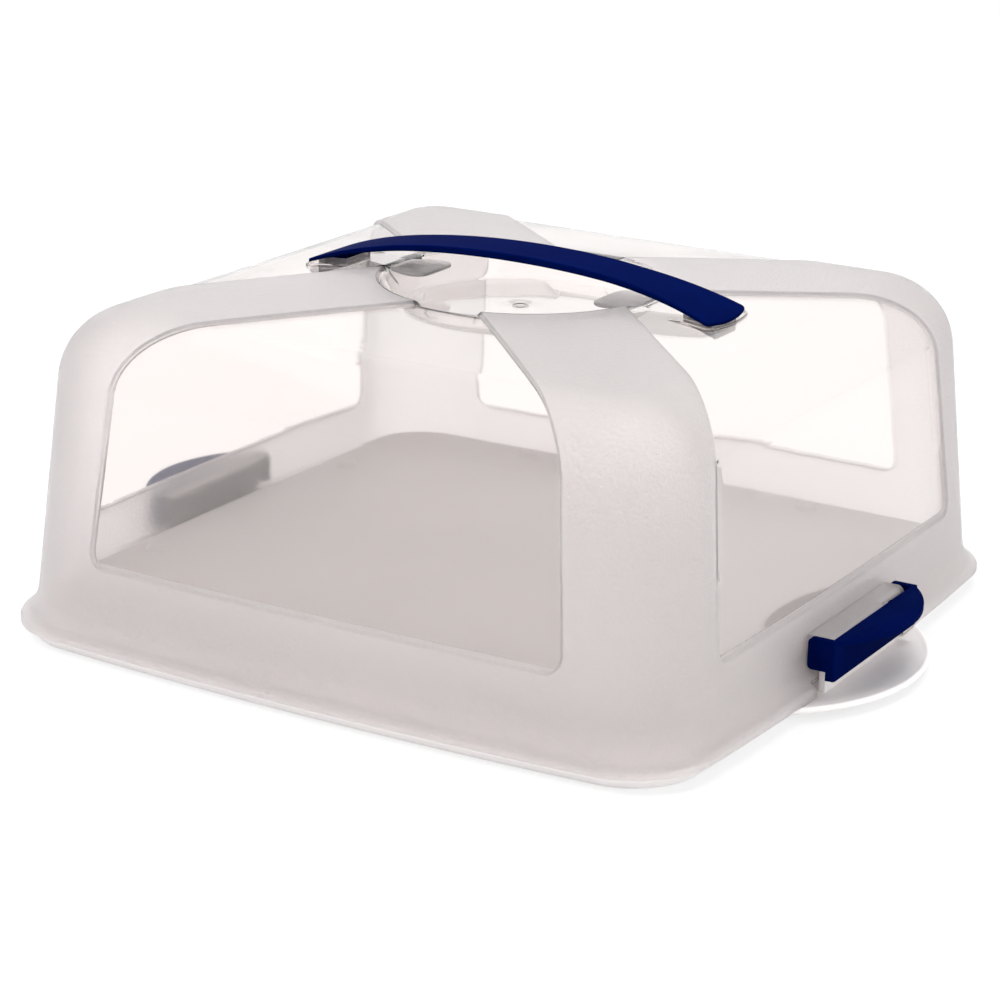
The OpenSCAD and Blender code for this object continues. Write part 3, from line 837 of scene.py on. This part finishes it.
def navy_material(name, deep, light):
    """Navy polypropylene with a matt surface, a very fine grain and a little uneven tone."""
    material, nodes, links = new_material(name)
    shader = add_node(nodes, "ShaderNodeBsdfPrincipled", Roughness=0.45, IOR=1.49)
    shader.inputs["Specular IOR Level"].default_value = 0.001
    output = add_node(nodes, "ShaderNodeOutputMaterial")
    place = add_node(nodes, "ShaderNodeTexCoord")
    cloud = add_node(nodes, "ShaderNodeTexNoise", Scale=35.0, Detail=3.0, Roughness=0.5)
    tone = add_node(nodes, "ShaderNodeValToRGB")
    tone.color_ramp.elements[0].position = 0.35
    tone.color_ramp.elements[0].color = (*deep, 1.0)
    tone.color_ramp.elements[1].position = 0.65
    tone.color_ramp.elements[1].color = (*light, 1.0)
    grain = add_node(nodes, "ShaderNodeTexNoise", Scale=1400.0, Detail=3.0, Roughness=0.6)
    bump = add_node(nodes, "ShaderNodeBump", Strength=0.1, Distance=0.0003)
    links.new(place.outputs["Object"], cloud.inputs["Vector"])
    links.new(place.outputs["Object"], grain.inputs["Vector"])
    links.new(cloud.outputs["Fac"], tone.inputs["Fac"])
    links.new(tone.outputs["Color"], shader.inputs["Base Color"])
    links.new(grain.outputs["Fac"], bump.inputs["Height"])
    links.new(bump.outputs["Normal"], shader.inputs["Normal"])
    links.new(shader.outputs["BSDF"], output.inputs["Surface"])
    return material


def handle_up(x):
    """Height of the bar's upper face."""
    part, late = (x / HANDLE_HALF) ** 2, 0.28
    return HANDLE_TOP - HANDLE_FALL * ((1 - late) * part + late * part * part)


def handle_low(x):
    return handle_up(x) - HANDLE_THICK + END_THIN * (x / HANDLE_HALF) ** 2


def bar_mesh():
    """The bowed bar as a closed grid: straight middle, flared ends with a blunt round nose."""
    turns = np.linspace(-1, 1, 97)
    across = np.linspace(-1, 1, 17)
    work = bmesh.new()
    top, low = [], []
    for turn in turns:
        for rows in (top, low):
            rows.append([])
        for s in across:
            reach = HANDLE_HALF - NOSE_R + math.sqrt(NOSE_R ** 2 - (s * handle_y(NOSE_X)) ** 2)
            x = turn * reach
            y = s * handle_y(min(abs(x), NOSE_X))
            top[-1].append(work.verts.new((x * MM, y * MM, handle_up(x) * MM)))
            low[-1].append(work.verts.new((x * MM, y * MM, handle_low(x) * MM)))
    for i in range(len(turns) - 1):
        for j in range(len(across) - 1):
            work.faces.new((top[i][j], top[i + 1][j], top[i + 1][j + 1], top[i][j + 1]))
            work.faces.new((low[i][j + 1], low[i + 1][j + 1], low[i + 1][j], low[i][j]))
        work.faces.new((low[i][0], low[i + 1][0], top[i + 1][0], top[i][0]))
        work.faces.new((top[i][-1], top[i + 1][-1], low[i + 1][-1], low[i][-1]))
    for i, flip in ((0, False), (-1, True)):
        for j in range(len(across) - 1):
            loop = (low[i][j], top[i][j], top[i][j + 1], low[i][j + 1])
            work.faces.new(loop[::-1] if flip else loop)
    bmesh.ops.recalc_face_normals(work, faces=work.faces)
    corners = [top[i][j].link_edges for i in (0, -1) for j in (0, -1)]
    upright = {e for edges in corners for e in edges
               if abs(e.verts[0].co.z - e.verts[1].co.z) > 1.2 * MM and e.calc_length() < 2 * MM}
    bmesh.ops.bevel(work, geom=list(upright), offset=NOSE_CORNER_R * MM, segments=5, profile=0.5,
                    affect="EDGES")
    rim = [e for e in work.edges if e.calc_face_angle(0) > math.radians(50)]
    bmesh.ops.bevel(work, geom=rim, offset=BAR_ROUND * MM, segments=3, profile=0.5, affect="EDGES",
                    clamp_overlap=True)
    mesh = bpy.data.meshes.new("bar")
    work.to_mesh(mesh)
    work.free()
    return mesh


def foot_meshes():
    """Snap feet: at each end a wedge of two prongs and an end wall, down into the pocket."""
    near, far, half = FOOT_X0, FOOT_X1, FOOT_Y
    root = handle_up(far) - 1
    prong = [(near, 145.2), (far, FOOT_LOW), (far, root), (near, handle_up(near) - 1)]
    barb = [(near + 4, 142.3), (far - 3, 142.3), (far - 3, 141.9), (near + 5, 141.9)]
    shapes = [extrude_outline("prong", prong, side, side + PRONG_W, "Y") for side in (-half, half - PRONG_W)]
    shapes += [extrude_outline("barb", barb, side, side + 0.6, "Y") for side in (-half - 0.25, half - 0.35)]
    shapes.append(box_mesh((far - PRONG_W, -half + 1, FOOT_LOW), (far - 0.01, half - 1, root)))
    return [copy for mesh in shapes for copy in (mesh, half_turned(mesh))]


def build_handle():
    mesh = joined("handle", [bar_mesh()] + foot_meshes())
    smooth(mesh)
    navy = navy_material("handle_navy_plastic", (0.0002, 0.0030, 0.042), (0.0003, 0.0038, 0.050))
    mesh.materials.append(navy)
    place_piece(new_piece("handle_bar", mesh), "hood_body", "handle", "carry_handle")


build_handle()

# Clips: one navy polypropylene moulding on each side. Two cheeks turn on the ledge's pins,
# the round shelf is for a finger, and the lip along the lower edge hooks under the catch.
CLIP_HALF, CLIP_REACH, CLIP_FRONT, CLIP_WALL = 42.0, 191.3, 173.9, 2.0
CLIP_TOP, CLIP_FOOT, SHELF_T = 30.6, 13.3, 2.2
CHEEK_W, CHEEK_X, CHEEK_Z, CHEEK_R = 3.0, 163.7, 17.0, 2.0
CLIP_CORNER_R, CLIP_ROUND, BORE_GAP = 1.4, 0.35, 0.06
HOOK_IN, HOOK_TOP = 171.9, 14.3


def clip_parts():
    """Closed solids of the +X clip: front wall, hook lip, finger shelf and two cheeks."""
    front = CLIP_FRONT + CLIP_WALL
    corner = front - CLIP_CORNER_R, CLIP_HALF - CLIP_CORNER_R
    bar = [(CLIP_FRONT, -CLIP_HALF)] + arc(corner[0], -corner[1], CLIP_CORNER_R, -90, 0, 5)
    bar += arc(*corner, CLIP_CORNER_R, 0, 90, 5) + [(CLIP_FRONT, CLIP_HALF)]
    parts = [extrude_outline("wall", bar, CLIP_FOOT, CLIP_TOP)]
    parts.append(box_mesh((HOOK_IN, -CLIP_HALF, CLIP_FOOT), (CLIP_FRONT + 0.5, CLIP_HALF, HOOK_TOP)))
    sag = CLIP_REACH - CLIP_FRONT
    radius = (CLIP_HALF ** 2 + sag ** 2) / (2 * sag)
    lean = math.degrees(math.asin(CLIP_HALF / radius))
    shelf = arc(CLIP_REACH - radius, 0, radius, -lean, lean, 56)
    parts.append(extrude_outline("shelf", shelf, CLIP_TOP - SHELF_T, CLIP_TOP))
    cheek = [(front - 0.6, CLIP_TOP)] + arc(CHEEK_X + CHEEK_R, CLIP_TOP - CHEEK_R, CHEEK_R, 90, 180, 6)
    cheek += arc(CHEEK_X + CHEEK_R, CHEEK_Z + CHEEK_R, CHEEK_R, 180, 270, 6)
    cheek += [(HOOK_IN, CHEEK_Z), (HOOK_IN, CLIP_FOOT), (front - 0.6, CLIP_FOOT)]
    parts.append(extrude_outline("cheek", cheek, -CLIP_HALF, -CLIP_HALF + CHEEK_W, "Y"))
    parts.append(extrude_outline("cheek", cheek, CLIP_HALF - CHEEK_W, CLIP_HALF, "Y"))
    return parts


def clip_piece(name, material):
    """The +X clip as one body with blind bores for the pins and rounded edges."""
    mesh, *others = clip_parts()
    mesh.materials.append(material)
    piece = new_piece(name, mesh)
    for part in others:
        cut_or_join(piece, part, "UNION", 0)
    radius = PIN_R + BORE_GAP
    bore = [(PIN_X + radius * math.cos(a), PIN_Z + radius * math.sin(a))
            for a in np.linspace(0, math.tau, 41)[:-1]]
    cut_or_join(piece, extrude_outline("bore", bore, -CLIP_HALF + 1, CLIP_HALF - 1, "Y"), "DIFFERENCE", 0)
    work = bmesh.new()
    work.from_mesh(piece.data)
    bmesh.ops.remove_doubles(work, verts=work.verts, dist=2e-6)
    bmesh.ops.dissolve_limit(work, angle_limit=math.radians(1.0), verts=work.verts, edges=work.edges)
    bmesh.ops.recalc_face_normals(work, faces=work.faces)
    sharp = [e for e in work.edges if len(e.link_faces) == 2 and e.calc_face_angle(0) > math.radians(40)]
    bmesh.ops.bevel(work, geom=sharp, offset=CLIP_ROUND * MM, segments=2, profile=0.5, affect="EDGES",
                    clamp_overlap=True)
    work.to_mesh(piece.data)
    work.free()
    return piece


def build_clips():
    navy = navy_material("clip_navy_plastic", (0.0002, 0.0028, 0.040), (0.0003, 0.0036, 0.048))
    for side in ("right", "left"):
        piece = clip_piece(side + "_clip_moulding", navy)
        if side == "left":
            piece.data.transform(HALF_TURN)
        smooth(piece.data)
        place_piece(piece, side + "_clip_body", "clips", side + "_clip")


build_clips()
